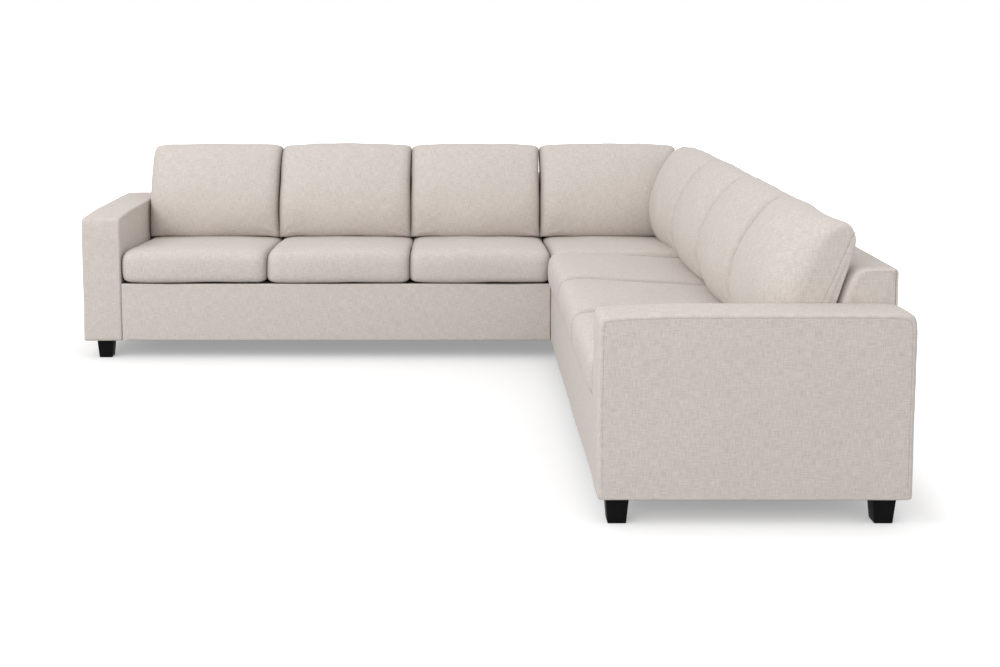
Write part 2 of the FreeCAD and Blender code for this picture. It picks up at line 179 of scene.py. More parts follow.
def woven(name, dark, light, thread, slub):
    """Plain weave of slubby yarn: threads both ways, thick and thin places, soft mottling, and painted
    shade from a point attribute in seam grooves and where cushions meet.
    """
    material, shader, position = new_material(name)
    u, v = flat_coordinates(position)
    warp = (u * (math.pi / thread)).sin()
    weft = (v * (math.pi / thread)).sin()
    over = (warp * weft) * 0.5 + 0.5
    flat = u.vector(v, 0.0)
    along_u = (u * 34.0).vector(v * 370.0, 0.0).noise(1.0, 2.0, 0.6)
    along_v = (u * 370.0).vector(v * 34.0, 3.0).noise(1.0, 2.0, 0.6)
    grain = flat.noise(900.0, 1.0)
    mottle = flat.noise(26.0, 3.0)
    yarn = (along_u + along_v - 1.0) * slub + (grain - 0.5) * 0.6 + (over - 0.5) * 0.22
    tone = yarn + (mottle - 0.5) * 0.2 + 0.5
    seam_and_joint_shade = position.node("ShaderNodeAttribute", attribute_name="seam_and_joint_shade")
    painted_shade = Socket(position.tree, seam_and_joint_shade.outputs["Fac"])
    # Painted shade: the point attribute darkens the cloth in seam grooves and at the ends where
    # cushions meet.
    set_colour(shader, tone - painted_shade * 0.9, dark, light)
    set_bump(shader, yarn + over * 0.4, 0.35, 0.0006)
    shader.inputs["Roughness"].default_value = 0.92
    shader.inputs["Specular IOR Level"].default_value = 0.25
    shader.inputs["Sheen Weight"].default_value = 0.08
    shader.inputs["Sheen Roughness"].default_value = 0.5
    return material


def plain_cloth(name, dark, light, scale):
    material, shader, position = new_material(name)
    fibres = position.noise(scale, 4.0, 0.7)
    set_colour(shader, fibres, dark, light)
    set_bump(shader, fibres, 0.3, 0.0008)
    shader.inputs["Roughness"].default_value = 0.95
    return material


def timber(name):
    """Sawn softwood: rings that run along the board, darker late wood, fine grain."""
    material, shader, position = new_material(name)
    stretched = position.node("ShaderNodeMapping", {"Vector": position, "Scale": (9.0, 9.0, 40.0)})
    rings = Socket(position.tree, stretched.outputs[0]).noise(1.0, 5.0, 0.6)
    bands = (rings * 42.0).sin() * 0.25
    grain = position.noise(420.0, 2.0)
    set_colour(shader, bands + grain * 0.5 + 0.25, (0.36, 0.22, 0.11), (0.62, 0.45, 0.27))
    set_bump(shader, bands + grain, 0.25, 0.0006)
    shader.inputs["Roughness"].default_value = 0.75
    return material


def lacquer(name):
    """Black lacquered wood with a faint orange-peel skin and rubbed spots."""
    material, shader, position = new_material(name)
    skin = position.noise(220.0, 2.0)
    shaded_joints = position.noise(18.0, 4.0)
    set_colour(shader, shaded_joints, (0.003, 0.003, 0.003), (0.008, 0.0075, 0.0075))
    set_bump(shader, skin, 0.15, 0.0004)
    shader.inputs["Roughness"].default_value = 0.5
    shader.inputs["Specular IOR Level"].default_value = 0.06
    return material


def steel(name):
    material, shader, position = new_material(name)
    spangle = position.noise(160.0, 3.0)
    set_colour(shader, spangle, (0.42, 0.43, 0.45), (0.66, 0.67, 0.69))
    shader.inputs["Metallic"].default_value = 1.0
    shader.inputs["Roughness"].default_value = 0.42
    return material


FABRIC_DARK = (0.47, 0.425, 0.39)
FABRIC_LIGHT = (0.74, 0.68, 0.635)
fabric = woven("woven_fabric", FABRIC_DARK, FABRIC_LIGHT, 0.0018, 1.0)
webbing = woven("elastic_webbing", (0.2, 0.15, 0.09), (0.5, 0.42, 0.3), 0.003, 0.4)
materials = {
    "deck_cloth": plain_cloth("deck_cloth", (0.05, 0.047, 0.043), (0.11, 0.105, 0.1), 300.0),
    "dust_cloth": plain_cloth("dust_cloth", (0.012, 0.012, 0.012), (0.03, 0.03, 0.03), 500.0),
    "timber": timber("timber"),
    "black_leg": lacquer("black_lacquer"),
    "zinc_steel": steel("zinc_steel"),
    "elastic_webbing": webbing,
    "woven_cover": fabric,
    "woven_cushion": fabric,
}
node_slots = {part["node"]: part["material_slot"] for part in frame["record"]["subparts"]}
for node, item in frame["nodes"].items():
    item.data.materials.clear()
    item.data.materials.append(materials[node_slots[node]])


# ---- Soft shapes: a subdivided cube moved onto a closed outline that runs along x

COUNT = 64
EDGE = 8
SAMPLES = 160


def get_points(item):
    flat = np.empty(len(item.data.vertices) * 3)
    item.data.vertices.foreach_get("co", flat)
    return flat.reshape(-1, 3)


def set_points(item, points):
    item.data.vertices.foreach_set("co", np.ascontiguousarray(points).ravel())
    item.data.update()


def normals(item):
    flat = np.empty(len(item.data.vertices) * 3)
    item.data.vertices.foreach_get("normal", flat)
    return flat.reshape(-1, 3)


def outline(corners):
    """Closed smooth outline of a side view from corners (distance, height, softness).

    Four corners, marked by a fourth value, are where the cube's long edges go:
    front and bottom, front and top, rear and top, rear and bottom.
    """
    fine = 1200
    points = np.array([corner[:2] for corner in corners])
    softness = np.array([corner[2] for corner in corners])
    closed = np.vstack([points, points[:1]])
    starts = np.append(0, np.cumsum(np.linalg.norm(np.diff(closed, axis=0), axis=1)))
    total = starts[-1]
    at = np.arange(fine) * total / fine
    dense = np.stack([np.interp(at, starts, closed[:, n]) for n in (0, 1)], 1)
    spread = np.interp(at, starts, np.append(softness, softness[0]))
    gap = np.abs(at[:, None] - at)
    gap = np.minimum(gap, total - gap)
    weight = np.exp(-0.5 * (gap / spread[:, None]) ** 2)
    smooth = weight @ dense / weight.sum(1, keepdims=True)
    cuts = [round(starts[n] / total * fine) for n, c in enumerate(corners) if len(c) > 3]
    ring = []
    for number, cut in enumerate(cuts):
        stop = cuts[number + 1] if number < 3 else cuts[0] + fine
        run = smooth[np.arange(cut, stop + 1) % fine]
        walked = np.append(0, np.cumsum(np.linalg.norm(np.diff(run, axis=0), axis=1)))
        places = np.linspace(0, walked[-1], SAMPLES + 1)[:-1]
        ring.append(np.stack([np.interp(places, walked, run[:, n]) for n in (0, 1)], 1))
    return np.vstack(ring)


def around(values):
    """Values for front, top, rear and bottom, blended where they meet."""
    steps = np.repeat(np.broadcast_to(np.array(values, float), 4), SAMPLES)
    at = np.arange(len(steps))
    gap = np.abs(at[:, None] - at)
    gap = np.minimum(gap, len(steps) - gap)
    weight = np.exp(-0.5 * (gap / (SAMPLES * 0.12)) ** 2)
    return weight @ steps / weight.sum(1)


def lookup(table, place):
    at = place * SAMPLES
    low = np.floor(at).astype(int)
    share = at - low
    size = len(table)
    if table.ndim == 2:
        share = share[:, None]
    return table[low % size] * (1 - share) + table[(low + 1) % size] * share


class End:
    """How one end of a soft shape is rounded.

    radius is how far along x the rounding starts and draw how far the outline is
    drawn in by it, each for front, top, rear and bottom; cap is how far the end
    itself swells.
    """

    def __init__(self, radius, draw, cap=0.0):
        self.radius = around(radius)
        self.draw = np.broadcast_to(np.array(draw, float), 4)
        self.cap = cap


# Distances from the edge of a cap to the rings of points inside it, and their share on thin boards.
THIN = 0.1
INSETS = np.array([0.0, 0.0022, 0.0042, 0.0056, 0.0068, 0.0082, 0.0105, 0.015])


def loft(name, ring, low, high, ends, swell=0.0, lean=0.0, inset=1.0):
    """The outline from x = low to high, with rounded ends and swollen sides.

    inset is the share of the usual distances between the rings on the caps.

    Returns the object, and for each point its distance from the edge of the cap.
    """
    bpy.ops.object.select_all(action="DESELECT")
    bpy.ops.mesh.primitive_cube_add(size=2)
    item = bpy.context.object
    item.name = name
    item.data.name = name
    bpy.ops.object.mode_set(mode="EDIT")
    bpy.ops.mesh.select_all(action="SELECT")
    bpy.ops.mesh.subdivide(number_cuts=COUNT - 1)
    bpy.ops.object.mode_set(mode="OBJECT")
    index = np.rint((get_points(item) + 1) / 2 * COUNT).astype(int)
    a = index[:, 0]
    b, c = (2 * index[:, 1:] - COUNT).T
    outer = np.maximum(np.maximum(np.abs(b), np.abs(c)), 1)
    u, v = b / outer, c / outer
    rear_or_bottom = np.where(b == outer, 2 + (1 - v) / 2, 3 + (1 - u) / 2)
    top_or_later = np.where(c == outer, 1 + (u + 1) / 2, rear_or_bottom)
    place = np.where(b == -outer, (v + 1) / 2, top_or_later)

    tangent = np.roll(ring, -1, 0) - np.roll(ring, 1, 0)
    inward = np.stack([tangent[:, 1], -tangent[:, 0]], 1)
    inward /= np.linalg.norm(inward, axis=1, keepdims=True)
    side = lookup(ring, place)
    inward = lookup(inward, place)

    from_low = a / EDGE
    from_high = (COUNT - a) / EDGE
    through = (u + 1) / 2
    height = (v + 1) / 2
    shift = np.zeros((len(a), 2))
    radii = [lookup(end.radius, place) for end in ends]
    across = np.array([math.cos(lean), -math.sin(lean)])
    upward = np.array([math.sin(lean), math.cos(lean)])
    frame_axes = np.stack([across, upward], 1)
    reach = ring @ frame_axes
    deep_share, tall_share = ((side @ frame_axes - reach.min(0)) / np.ptp(reach, axis=0)).T
    between = high - low - radii[0] - radii[1]
    x = low + radii[0] + between * (a - EDGE) / (COUNT - 2 * EDGE)
    for end, radius, steps, edge, sign in (
        (ends[0], radii[0], from_low, low, 1),
        (ends[1], radii[1], from_high, high, -1),
    ):
        turning = steps <= 1
        angle = (1 - steps[turning]) * math.pi / 2
        x[turning] = edge + sign * radius[turning] * (1 - np.sin(angle))
        amount = (1 - np.cos(angle))[:, None]
        front, top, rear, bottom = end.draw
        y = front * (1 - deep_share) - rear * deep_share
        z = bottom * (1 - tall_share) - top * tall_share
        vector = y[:, None] * across + z[:, None] * upward
        shift[turning] += vector[turning] * amount
    share = (x - low) / (high - low)
    swollen = lookup(around(swell), place) * (1 - (2 * share - 1) ** 2)
    side = side + shift - inward * swollen[:, None]

    step = (COUNT - outer) // 2
    on_cap = (a == 0) | (a == COUNT)
    limits = INSETS * inset
    last = len(limits) - 1
    inside = np.where(on_cap, limits[np.minimum(step, last)], 0)
    squeeze = np.stack([1 - 2 * through, 1 - 2 * height], 1)
    side = side + inside[:, None] * squeeze
    depth = np.clip((step - last) / (COUNT / 2 - last), 0, 1)
    for chosen, end, sign in ((a == 0, ends[0], -1), (a == COUNT, ends[1], 1)):
        rim = chosen & (step == last)
        centre = side[rim].mean(0)
        deep = chosen & (step > last)
        side[deep] += (centre - side[deep]) * depth[deep, None]
        x[chosen] += sign * end.cap * (1 - (1 - depth[chosen]) ** 2)
    set_points(item, np.stack([x, side[:, 0], side[:, 1]], 1))
    return item, np.where(on_cap, inside + depth, -1)


def ripple(points, seed, amount, wavelength):
    """Slow waves in all directions, the same for the same seed."""
    source = np.random.default_rng(seed)
    total = np.zeros(len(points))
    for _ in range(9):
        direction = source.normal(size=3)
        direction *= 2 * math.pi / (wavelength * source.uniform(0.6, 1.8)) / np.linalg.norm(direction)
        total += np.sin(points @ direction + source.uniform(0, 2 * math.pi))
    return total / 3 * amount


def roughen(item, seed, amount, wavelength):
    points = get_points(item)
    set_points(item, points + normals(item) * ripple(points, seed, amount, wavelength)[:, None])


def press(item, amount, depth, dark=0.38):
    """Press a seam into the mesh and mark it for painted shade in the material; dark is how strongly it
    is darkened.
    """
    attribute = item.data.attributes.get("seam_and_joint_shade") or item.data.attributes.new("seam_and_joint_shade", "FLOAT", "POINT")
    before = np.zeros(len(amount), np.float32)
    attribute.data.foreach_get("value", before)
    # Painted shade amount, kept for the material.
    attribute.data.foreach_set("value", np.clip(amount * dark, before, 1).astype(np.float32))
    set_points(item, get_points(item) - normals(item) * (depth * amount)[:, None])


def seam_loop(item, place, normal, depth=0.0014):
    """Cut a seam all the way round where a plane meets the piece, press it in and paint shade into the
    groove.
    """
    normal = np.array(normal) / np.linalg.norm(normal)
    place = np.array(place)
    bpy.ops.object.select_all(action="DESELECT")
    item.select_set(True)
    bpy.context.view_layer.objects.active = item
    bpy.ops.object.mode_set(mode="EDIT")
    for offset in (-0.004, -0.0018, 0.0, 0.0018, 0.004):
        bpy.ops.mesh.select_all(action="SELECT")
        bpy.ops.mesh.bisect(plane_co=place + normal * offset, plane_no=normal)
    bpy.ops.object.mode_set(mode="OBJECT")
    away = (get_points(item) - place) @ normal
    # The groove is also darkened with painted shade.
    press(item, np.exp(-((away / 0.0016) ** 2)), depth)


def paint_joint_shade(item, low, high, ends):
    """Paint shade on the ends where a cushion meets the next one, with a slight groove."""
    x = get_points(item)[:, 0]
    painted_shade = np.zeros(len(x))
    for end, away in zip(ends, (x - low, high - x)):
        if not end.cap:
            painted_shade += np.exp(-((away / 0.011) ** 2))
    # Painted shade along the joint ends.
    press(item, painted_shade, 0.0006, 1.0)


def dress(item, body, nodes, material=fabric):
    item.data.materials.clear()
    item.data.materials.append(material)
    item.data.shade_smooth()
    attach(item, body)
    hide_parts(*nodes)
    return item


def join(name, items):
    bpy.ops.object.select_all(action="DESELECT")
    for item in items:
        item.select_set(True)
    bpy.context.view_layer.objects.active = items[0]
    bpy.ops.object.join()
    items[0].name = name
    items[0].data.name = name
    return items[0]


def copy_of(base, name):
    item = base.copy()
    item.data = base.data.copy()
    item.name = name
    item.data.name = name
    bpy.context.scene.collection.objects.link(item)
    return item


# ---- Seat cushions

# Lengths of the cushion forms: of a run's cushions and of the corner ones.
WIDE = 0.6209
CORNER = 0.6412
# Where the cushions of each run meet, as they have settled.
RIGHT_EDGES = (0.0005, 0.6225, 1.2455, 1.8685)
SEAT_EDGES = {"left": (0.169, 0.799, 1.4215, 2.0335), "right": RIGHT_EDGES}
BACK_EDGES = {"left": (0.172, 0.7885, 1.410, 2.0225), "right": RIGHT_EDGES}
HALF_GAP = 0.0005
SEAT_FRONT_WRAPPED = outline(
    [
        (0.004, 0.3380, 0.014, True),
        (-0.012, 0.3590, 0.012),
        (-0.014, 0.4090, 0.022),
        (-0.013, 0.4550, 0.022),
        (0.002, 0.4750, 0.020, True),
        (0.050, 0.4780, 0.030),
        (0.180, 0.4760, 0.050),
        (0.360, 0.4630, 0.050),
        (0.500, 0.4535, 0.040),
        (0.620, 0.4520, 0.014),
        (0.645, 0.4480, 0.010, True),
        (0.647, 0.3370, 0.006, True),
    ]
)
SEAT_FRONT_BUTTED = outline(
    [
        (0.006, 0.3380, 0.010, True),
        (0.000, 0.3590, 0.012),
        (0.000, 0.4390, 0.016),
        (0.006, 0.4720, 0.014, True),
        (0.060, 0.4755, 0.030),
        (0.200, 0.4730, 0.050),
        (0.360, 0.4620, 0.050),
        (0.500, 0.4535, 0.040),
        (0.620, 0.4520, 0.014),
        (0.645, 0.4480, 0.010, True),
        (0.647, 0.3370, 0.006, True),
    ]
)
SEAT_JOINT = End((0.055, 0.075, 0.016, 0.030), (0.038, 0.028, 0.004, 0.015), 0.0)
SEAT_UNDER_BACK = End((0.040, 0.220, 0.030, 0.022), (0.006, 0.022, 0.004, 0.010), 0.0)


def seat_form(ring, low, high, ends, seed):
    item, _ = loft("seat_form", ring, low, high, ends, (0.008, 0.009, 0.0, 0.0))
    paint_joint_shade(item, low, high, ends)
    roughen(item, seed, 0.0014, 0.20)
    points = get_points(item)
    points[:, 0] = np.clip(points[:, 0], low, high)
    points[:, 2] = np.maximum(points[:, 2], DECK)
    set_points(item, points)
    seam_loop(item, (0, 0, 0.3425), (0, 0, 1), 0.0012)
    return item


def place_form(base, node, station, low, high, seed, shaded_joints=(), shape=None):
    """Copy of a form that is WIDE or CORNER long, fitted between two places along x.

    The places given after the seed are where painted shade darkens the cloth beside the next cushion,
    and where the top corners sink.
    """
    item = copy_of(base, "cushion_" + node)
    if seed:
        roughen(item, seed, 0.0014, 0.3)
    points = get_points(item)
    length = WIDE if points[:, 0].max() < (WIDE + CORNER) / 2 else CORNER
    points[:, 0] = low + points[:, 0] * (high - low) / length
    if shape is not None:
        points = shape(points)
    for place in shaded_joints:
        away = points[:, 0] - place
        # Painted shade on the cloth beside the joint.
        press(item, np.exp(-((away / 0.022) ** 2)), 0.0, 0.85)
        sunk = np.exp(-((away / 0.035) ** 2)) * np.clip((points[:, 2] - 0.74) / 0.12, 0, 1)
        points += sunk[:, None] * (0, 0.010, -0.013)
    points[:, 2] = np.maximum(points[:, 2], DECK)
    set_points(item, to_world(points, station))
    return dress(item, node + "_body", [node])


def row(kind, bases, edges, seed):
    """The six cushions of one kind in the two runs."""
    for side in ("left", "right"):
        for number in range(3):
            low = edges[side][number] + HALF_GAP
            high = edges[side][number + 1] - HALF_GAP
            node = f"{side}_{kind}_cushion_{number + 1}"
            seed += 1
            # Painted shade at the joints between the right run's cushions.
            shaded_joints = (low, high)[: 3 - number] if side == "right" else ()
            place_form(bases[side][number], node, side, low, high, seed, shaded_joints)


seat_base = seat_form(SEAT_FRONT_WRAPPED, 0.0, WIDE, (SEAT_JOINT, SEAT_JOINT), 11)
corner_base = seat_form(SEAT_FRONT_BUTTED, 0.0, CORNER, (SEAT_JOINT, SEAT_UNDER_BACK), 12)
row("seat", {"left": [seat_base] * 3, "right": [seat_base] * 3}, SEAT_EDGES, 20)
place_form(corner_base, "corner_seat_cushion", "corner", 0.002, 0.6425, 0)

# ---- Back cushions

BACK = outline(
    [
        (0.556, 0.4590, 0.012, True),
        (0.537, 0.4950, 0.022),
        (0.522, 0.5840, 0.030),
        (0.536, 0.6690, 0.030),
        (0.568, 0.7440, 0.030),
        (0.613, 0.8130, 0.030),
        (0.657, 0.8620, 0.024),
        (0.715, 0.8800, 0.020, True),
        (0.762, 0.8670, 0.014),
        (0.783, 0.8350, 0.016),
        (0.781, 0.7990, 0.016, True),
        (0.757, 0.7290, 0.030),
        (0.7275, 0.6290, 0.030),
        (0.679, 0.4590, 0.008, True),
    ]
)
LEAN = math.radians(17)
BACK_JOINT = End((0.060, 0.032, 0.022, 0.016), (0.042, 0.017, 0.008, 0.0), 0.0)
BACK_FREE = End((0.135, 0.036, 0.014, 0.030), (0.080, 0.016, 0.008, 0.0), 0.004)


def droop(points, low, high):
    """Pull the lower corners down and out into small ears, with folds that fan from them."""
    share = 2 * (points[:, 0] - low) / (high - low) - 1
    height = np.clip((points[:, 2] - 0.464) / 0.42, 0, 1)
    moved = points.copy()
    moved[:, 2] -= 0.010 * np.abs(share) ** 8 * np.clip(1 - height * 3, 0, 1) ** 2
    moved[:, 2] += 0.004 * (1 - np.abs(share) ** 4) * np.clip(1 - height * 8, 0, 1)
    pull = 0.0015 * np.sin(math.pi * height) * np.sign(share) * np.abs(share) ** 6
    moved[:, 0] -= pull
    return moved


def folds(points, low, high, seed):
    """Depth of the short folds that fan out from the four corners of the front."""
    source = np.random.default_rng(seed)
    total = np.zeros(len(points))
    bottom, top = (0.467, 0.075), (0.869, 0.035)
    for x, (z, length) in ((low, bottom), (high, bottom), (low, top), (high, top)):
        across = points[:, 0] - x
        up = points[:, 2] - z
        reach = np.hypot(across, up) + 1e-6
        angle = np.arctan2(np.abs(up), np.abs(across))
        phase = source.uniform(0, 6)
        strength = np.exp(-((reach - 0.3 * length) / length) ** 2) * np.clip(reach / 0.02, 0, 1)
        total += strength * np.sin(angle * 11 + phase)
    return total


def back_form(low, high, ends, seed):
    item, _ = loft("back_form", BACK, low, high, ends, (0.030, -0.007, 0.0, 0.0), LEAN)
    paint_joint_shade(item, low, high, ends)
    points = droop(get_points(item), low, high)
    set_points(item, points)
    roughen(item, seed, 0.0018, 0.22)
    points = get_points(item)
    ahead = np.clip(-normals(item)[:, 1] * 2, 0, 1)
    points += normals(item) * (folds(points, low, high, seed) * ahead * 0.0022)[:, None]
    points[:, 0] = np.clip(points[:, 0], low, high)
    points[:, 2] = np.maximum(points[:, 2], 0.4585 - 0.006 * np.abs(2 * points[:, 0] / high - 1) ** 8)
    set_points(item, points)
    seam_loop(item, (0, 0.682, 0.630), (0, 0.921, -0.389), 0.0012)
    return item


back_joined = back_form(0.0, WIDE, (BACK_JOINT, BACK_JOINT), 31)
back_end_high = back_form(0.0, WIDE, (BACK_JOINT, BACK_FREE), 33)
back_end_low = copy_of(back_end_high, "back_form")
set_points(back_end_low, get_points(back_end_low) * (-1, 1, 1) + (WIDE, 0, 0))
back_end_low.data.flip_normals()
back_bases = {
    "left": (back_end_low, back_joined, back_joined),
    "right": (back_joined, back_joined, back_end_high),
}
row("back", back_bases, BACK_EDGES, 40)
place_form(back_joined, "corner_back_cushion_rear", "corner", -0.0125, 0.6425, 0)


def against_rear(points):
    """The far end of the side cushion follows the leaning face of the rear one and stands forward."""
    end = DEPTH - 0.645
    share = np.clip((end + CORNER - points[:, 0]) / CORNER, 0, 1)
    heights = [0.4, 0.584, 0.669, 0.744, 0.817, 0.869, 0.91]
    fronts = [0.500, 0.500, 0.514, 0.547, 0.596, 0.648, 0.72]
    level = np.interp(points[:, 2], heights, fronts)
    moved = points.copy()
    moved[:, 0] += (DEPTH - level + 0.004 - end) * share**3
    tall = np.clip((points[:, 2] - 0.464) / 0.42, 0, 1)
    moved[:, 1] -= (0.026 + 0.018 * tall) * share**2
    return moved


side_place = DEPTH - 0.645
place_form(
    back_joined,
    "corner_back_cushion_side",
    "corner_side",
    side_place,
    side_place + CORNER,
    52,
    # Painted shade at the far end, where it meets the rear cushion.
    (side_place + CORNER,),
    against_rear,
)
for base in (seat_base, corner_base, back_joined, back_end_low, back_end_high):
    bpy.data.objects.remove(base)

# ---- Arms, backs and front rails

ARM_SIDE = outline(
    [
        (-0.001, 0.0795, 0.006, True),
        (-0.004, 0.3090, 0.020),
        (-0.003, 0.5600, 0.014),
        (0.001, 0.6180, 0.008, True),
        (0.060, 0.6230, 0.016),
        (0.130, 0.6260, 0.030),
        (0.240, 0.6290, 0.040),
        (0.860, 0.6290, 0.014),
        (0.907, 0.6240, 0.010, True),
        (0.9125, 0.5790, 0.012),
        (0.9125, 0.0795, 0.006, True),
    ]
)
ARM_EDGE = End((0.009, 0.010, 0.009, 0.006), (0.010, 0.008, 0.010, 0.004), 0.003)


def arm(side, start):
    """Slab arm: a band over front, top and back between two side panels."""
    ends = (ARM_EDGE, ARM_EDGE)
    item, inside = loft("arm_" + side, ARM_SIDE, start, start + ARM, ends, (0.002, 0.003, 0.0, 0.0))
    roughen(item, 5, 0.0008, 0.25)
    groove = np.where(inside >= 0, np.exp(-(((inside - 0.0042) / 0.0009) ** 2)), 0)
    groove *= np.clip((get_points(item)[:, 2] - 0.10) / 0.02, 0, 1)
    # The seam groove is also darkened with painted shade.
    press(item, groove, 0.0009)
    set_points(item, to_world(get_points(item), side))
    return dress(item, "frame", [side + "_arm_cover"])


BACK_TOP = 0.7295
BACK_HEAD = outline(
    [
        (0.650, 0.3355, 0.006, True),
        (0.700, 0.5190, 0.040),
        (0.745, 0.6740, 0.036),
        (0.775, BACK_TOP + 0.002, 0.024),
        (0.830, BACK_TOP + 0.002, 0.020, True),
        (0.898, BACK_TOP + 0.001, 0.004, True),
        (0.898, 0.3355, 0.004, True),
    ]
)
BACK_PANEL = outline(
    [
        (0.8985, 0.0855, 0.001, True),
        (0.8985, BACK_TOP - 0.001, 0.001, True),
        (0.9055, BACK_TOP - 0.001, 0.003, True),
        (0.9055, 0.0855, 0.002, True),
    ]
)
BACK_END = End((0.045, 0.010, 0.004, 0.004), (0.040, 0.006, 0.002, 0.002), 0.003)
PANEL_END = End(0.002, 0.001)


def back(node, station, start, length, mitre=0):
    """Upholstered back: a leaning wedge with a rounded head and a rear panel."""
    head, inside = loft("back_" + node, BACK_HEAD, start, start + length, (BACK_END, BACK_END))
    roughen(head, 31, 0.0008, 0.25)
    points = get_points(head)
    groove = np.exp(-(((inside - 0.0042) / 0.0011) ** 2))
    groove = np.where((inside >= 0) & (points[:, 1] > 0.862) & (points[:, 2] > 0.67), groove, 0)
    # The seam groove is also darkened with painted shade.
    press(head, groove, 0.0012)
    ends = (PANEL_END, PANEL_END)
    rear, _ = loft("rear_" + node, BACK_PANEL, start, start + length, ends, inset=THIN)
    # The panel has no seam, but the join needs the value on both pieces.
    press(rear, np.zeros(len(rear.data.vertices)), 0.0)
    for piece in (head, rear):
        points = get_points(piece)
        if mitre:
            share = np.clip((points[:, 0] - start) / length, 0, 1)
            if mitre < 0:
                share = 1 - share
            limit = points[:, 1] if mitre > 0 else DEPTH - points[:, 1]
            end = start + length if mitre > 0 else start
            points[:, 0] += (limit - end) * share**3
        set_points(piece, to_world(points, station))
    item = join("back_" + node, [head, rear])
    return dress(item, "frame", [node])


RAIL_SIDE = outline(
    [
        (0.0015, 0.0840, 0.002, True),
        (0.0000, 0.2090, 0.020),
        (0.0020, 0.3335, 0.003, True),
        (0.0100, 0.3335, 0.002, True),
        (0.0100, 0.0840, 0.002, True),
    ]
)
RAIL_END = End(0.004, (0.003, 0.001, 0.0, 0.001))


def rail(side, start):
    low, high = start + 0.001, start + RUN - 0.001
    ends = (RAIL_END, RAIL_END)
    item, _ = loft("rail_" + side, RAIL_SIDE, low, high, ends, (0.002, 0.0, 0.0, 0.0), inset=THIN)
    roughen(item, 17, 0.0006, 0.3)
    set_points(item, to_world(get_points(item), side))
    return dress(item, "frame", [side + "_front_cover"])


for side, seats, arm_start in (("left", ARM, 0.0), ("right", 0.0, RUN)):
    arm(side, arm_start)
    rail(side, seats)
    back(side + "_back_cover", side, seats + 0.001, RUN - 0.002)
back("corner_rear_back_cover", "corner", 0.0005, DEPTH - 0.0005, 1)
back("corner_side_back_cover", "corner_side", 0.0, DEPTH - 0.0005, -1)


# ---- Deck cloth, dust cloth and webbing


def cloth(node, slot, station, low, high, level, sag):
    """Cloth stretched flat over the frame, hemmed all round, that sags a little between its edges."""
    bpy.ops.object.select_all(action="DESELECT")
    bpy.ops.mesh.primitive_plane_add(size=1)
    item = bpy.context.object
    item.name = item.data.name = "cloth_" + node
    size = np.subtract(high, low)
    bpy.ops.object.mode_set(mode="EDIT")
    bpy.ops.mesh.select_all(action="SELECT")
    bpy.ops.transform.resize(value=(size[0], size[1], 1))
    bpy.ops.transform.translate(value=(*(np.add(low, high) / 2), level))
    bpy.ops.mesh.subdivide(number_cuts=48)
    for axis in range(2):
        normal = [float(axis == n) for n in range(3)]
        for edge, sign in ((low[axis], 1), (high[axis], -1)):
            for offset in (0.011, 0.013):
                place = [(edge + sign * offset) * n for n in normal]
                bpy.ops.mesh.select_all(action="SELECT")
                bpy.ops.mesh.bisect(plane_co=place, plane_no=normal)
    bpy.ops.object.mode_set(mode="OBJECT")
    points = get_points(item)
    share = (points[:, :2] - low) / size
    edge = np.minimum(points[:, :2] - low, high - points[:, :2]).min(1)
    share = np.clip(share, 0, 1)
    points[:, 2] -= sag * np.sqrt(16 * (share * (1 - share)).prod(1))
    slack = ripple(points, 61, sag * 0.2, 0.12) * np.clip(edge / 0.1, 0, 1)
    points[:, 2] += np.where(edge > 0.012, slack, 0.0006)
    set_points(item, to_world(points, station))
    dress(item, "frame", [node], materials[slot])


def straps(node, station, places, low, high, level):
    """Elastic straps that give a little between the rails they are stapled to."""
    bpy.ops.object.select_all(action="DESELECT")
    bpy.ops.mesh.primitive_cube_add(size=1)
    first = bpy.context.object
    bpy.ops.object.mode_set(mode="EDIT")
    bpy.ops.mesh.select_all(action="SELECT")
    bpy.ops.transform.resize(value=(0.060, high - low, 0.0016))
    bpy.ops.transform.translate(value=(0, (low + high) / 2, level))
    bpy.ops.mesh.bevel(offset=0.0005, segments=2, affect="EDGES")
    for share in np.linspace(0.03, 0.97, 20):
        bpy.ops.mesh.select_all(action="SELECT")
        bpy.ops.mesh.bisect(plane_co=(0, low + (high - low) * share, 0), plane_no=(0, 1, 0))
    bpy.ops.object.mode_set(mode="OBJECT")
    points = get_points(first)
    share = np.clip((points[:, 1] - low - 0.03) / (high - low - 0.06), 0, 1)
    points[:, 2] -= 0.0012 * 4 * share * (1 - share)
    points[:, 0] *= 1 - 0.05 * 4 * share * (1 - share)
    made = [first]
    for place in places[1:]:
        item = copy_of(first, "strap")
        set_points(item, to_world(points + (place, 0, 0), station))
        made.append(item)
    set_points(first, to_world(points + (places[0], 0, 0), station))
    item = join("straps_" + node, made)
    dress(item, "frame", [node], webbing)


for side, start in (("left", 0.167), ("right", 0.001)):
    quarters = [start + PITCH / 4 * (number + 0.5) for number in range(12)]
    straps(side + "_webbing", side, quarters, 0.012, 0.642, WEBBING)
    low, high = (start + 0.001, 0.0125), (start + 1.867, 0.643)
    cloth(side + "_seat_deck", "deck_cloth", side, low, high, DECK_CLOTH, 0.0012)
    low, high = (start + 0.001, 0.014), (start + 1.867, 0.896)
    cloth(side + "_dust_cover", "dust_cloth", side, low, high, DUST_CLOTH, 0.003)
straps("corner_webbing", "corner", [0.090, 0.240, 0.390, 0.540], 0.004, 0.640, WEBBING)
low, high = (0.003, 0.003), (0.643, 0.643)
cloth("corner_seat_deck", "deck_cloth", "corner", low, high, DECK_CLOTH, 0.0012)
low, high = (0.003, 0.014), (0.896, 0.896)
cloth("corner_dust_cover", "dust_cloth", "corner", low, high, DUST_CLOTH, 0.003)


# ---- Legs


